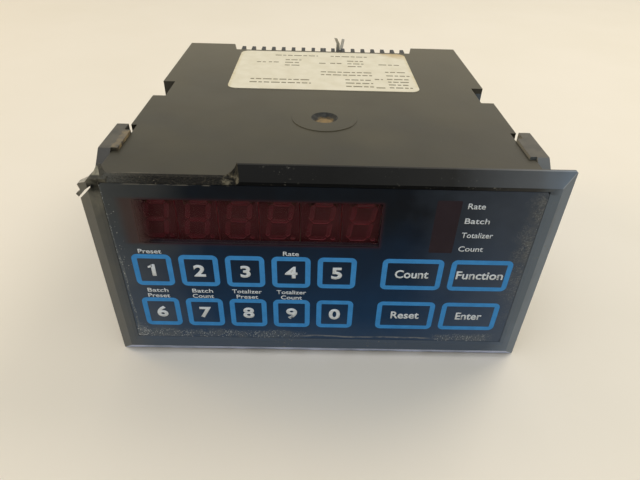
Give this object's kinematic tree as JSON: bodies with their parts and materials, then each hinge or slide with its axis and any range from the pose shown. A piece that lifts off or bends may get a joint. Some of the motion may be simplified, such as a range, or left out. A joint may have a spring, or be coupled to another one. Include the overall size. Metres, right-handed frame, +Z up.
{
  "type": "panel counter",
  "caption": "Electronic panel counter with a broken bevelled bezel, membrane number keys, red display window, one-piece moulded housing, side clips and rear screw terminals.",
  "frame": {"origin": "centre of the panel opening, on the rear face of the bezel", "axes": "+X right seen from the front, +Y to the rear along the housing, +Z up"},
  "size_m": [0.1503, 0.144, 0.0801],
  "materials": {
    "moulded_housing": "moulded black plastic with a satin sheen",
    "clip_plastic": "moulded black plastic",
    "label_paper": "cream label with a matt coat",
    "printed_film": "navy printed film with a soft gloss",
    "membrane_sheet": "clear polyester sheets with printed tracks",
    "red_filter": "deep red acrylic",
    "digit_moulding": "grey moulding with pale strokes",
    "lamp_plastic": "red lens",
    "circuit_board": "green coated laminate",
    "connector_plastic": "black moulded plastic",
    "chip_plastic": "black moulded resin with plated legs",
    "plated_steel": "zinc plated steel",
    "core_steel": "varnished laminations",
    "coil_wrap": "yellow tape over copper wire",
    "relay_plastic": "pale moulded cover",
    "capacitor_sleeve": "dark shrunk sleeve",
    "sink_aluminium": "extruded aluminium",
    "terminal_plastic": "dark grey moulded plastic",
    "clamp_brass": "plain brass",
    "tinned_metal": "tinned metal"
  },
  "bodies": {
    "root": {"housing": "moulded_housing", "mounting_clip_left": "clip_plastic", "mounting_clip_right": "clip_plastic", "top_label": "label_paper", "overlay_film": "printed_film", "key_spacer": "membrane_sheet", "key_circuit": "membrane_sheet", "display_filter": "red_filter", "indicator_filter": "red_filter", "digit_1": "digit_moulding", "digit_2": "digit_moulding", "digit_3": "digit_moulding", "digit_4": "digit_moulding", "digit_5": "digit_moulding", "digit_6": "digit_moulding", "indicator_lamp_1": "lamp_plastic", "indicator_lamp_2": "lamp_plastic", "indicator_lamp_3": "lamp_plastic", "indicator_lamp_4": "lamp_plastic", "display_board": "circuit_board", "display_screws": "plated_steel", "tail_socket": "relay_plastic", "upper_header": "connector_plastic", "lower_header": "connector_plastic", "logic_board": "circuit_board", "processor_chip": "chip_plastic", "memory_chip": "chip_plastic", "driver_chip_1": "chip_plastic", "driver_chip_2": "chip_plastic", "clock_crystal": "plated_steel", "power_board": "circuit_board", "transformer_core": "core_steel", "transformer_winding": "coil_wrap", "relay_1": "relay_plastic", "relay_2": "relay_plastic", "capacitor_1": "capacitor_sleeve", "capacitor_2": "capacitor_sleeve", "regulator": "chip_plastic", "heat_sink": "sink_aluminium", "regulator_screw": "plated_steel", "rear_panel": "moulded_housing", "rear_screws": "plated_steel", "terminal_block_upper_left": "terminal_plastic", "terminal_block_upper_right": "terminal_plastic", "terminal_block_lower_left": "terminal_plastic", "terminal_block_lower_right": "terminal_plastic", "terminal_screws_upper_left": "plated_steel", "terminal_screws_upper_right": "plated_steel", "terminal_screws_lower_left": "plated_steel", "terminal_screws_lower_right": "plated_steel", "terminal_clamps_upper_left": "clamp_brass", "terminal_clamps_upper_right": "clamp_brass", "terminal_clamps_lower_left": "clamp_brass", "terminal_clamps_lower_right": "clamp_brass", "terminal_fork": "tinned_metal"}
  },
  "joints": []
}
